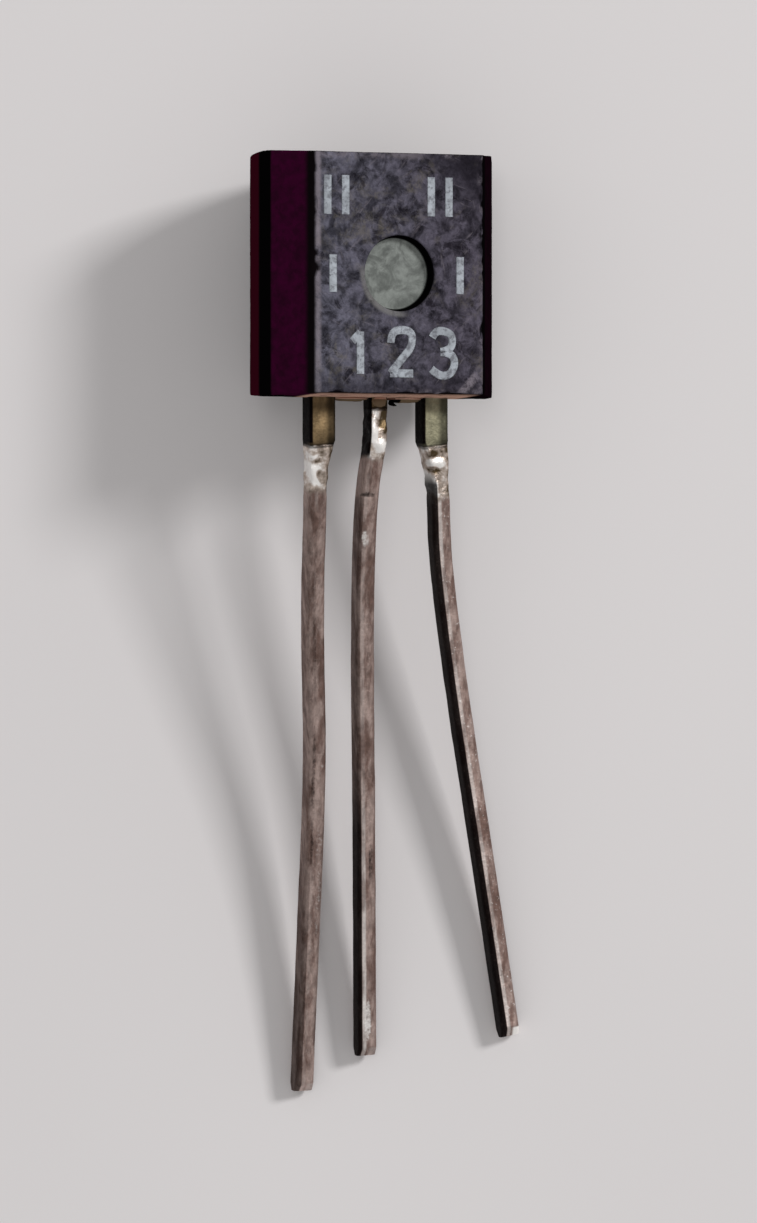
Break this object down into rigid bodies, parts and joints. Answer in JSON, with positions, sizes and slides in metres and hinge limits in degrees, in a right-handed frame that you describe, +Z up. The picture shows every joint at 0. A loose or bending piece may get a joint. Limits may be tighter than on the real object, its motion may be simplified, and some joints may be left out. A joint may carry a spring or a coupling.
{
  "type": "transistor",
  "caption": "Small-signal transistor in a flat-fronted moulded TO-92 body with long cut leads, lying on its round back.",
  "frame": {"origin": "centre of the whole part's footprint, on the surface that it lies on", "axes": "+Y along the body away from the leads, +Z up, +X to the right when the marked flat is seen from above with the leads pointing down the page"},
  "size_m": [0.0056, 0.0194, 0.0046],
  "materials": {
    "moulding": "matte dark grey filled epoxy, scuffed",
    "tinned_lead": "dull tin-dipped copper alloy, bare and darkened next to the body",
    "silicon": "polished silicon",
    "bond_film": "silver-filled adhesive",
    "gold_wire": "bright drawn gold"
  },
  "bodies": {
    "root": {"moulded_body": "moulding", "collector_lead": "tinned_lead", "base_lead": "tinned_lead", "emitter_lead": "tinned_lead", "silicon_die": "silicon", "die_attach": "bond_film", "base_bond_wire": "gold_wire", "emitter_bond_wire": "gold_wire"}
  },
  "joints": []
}
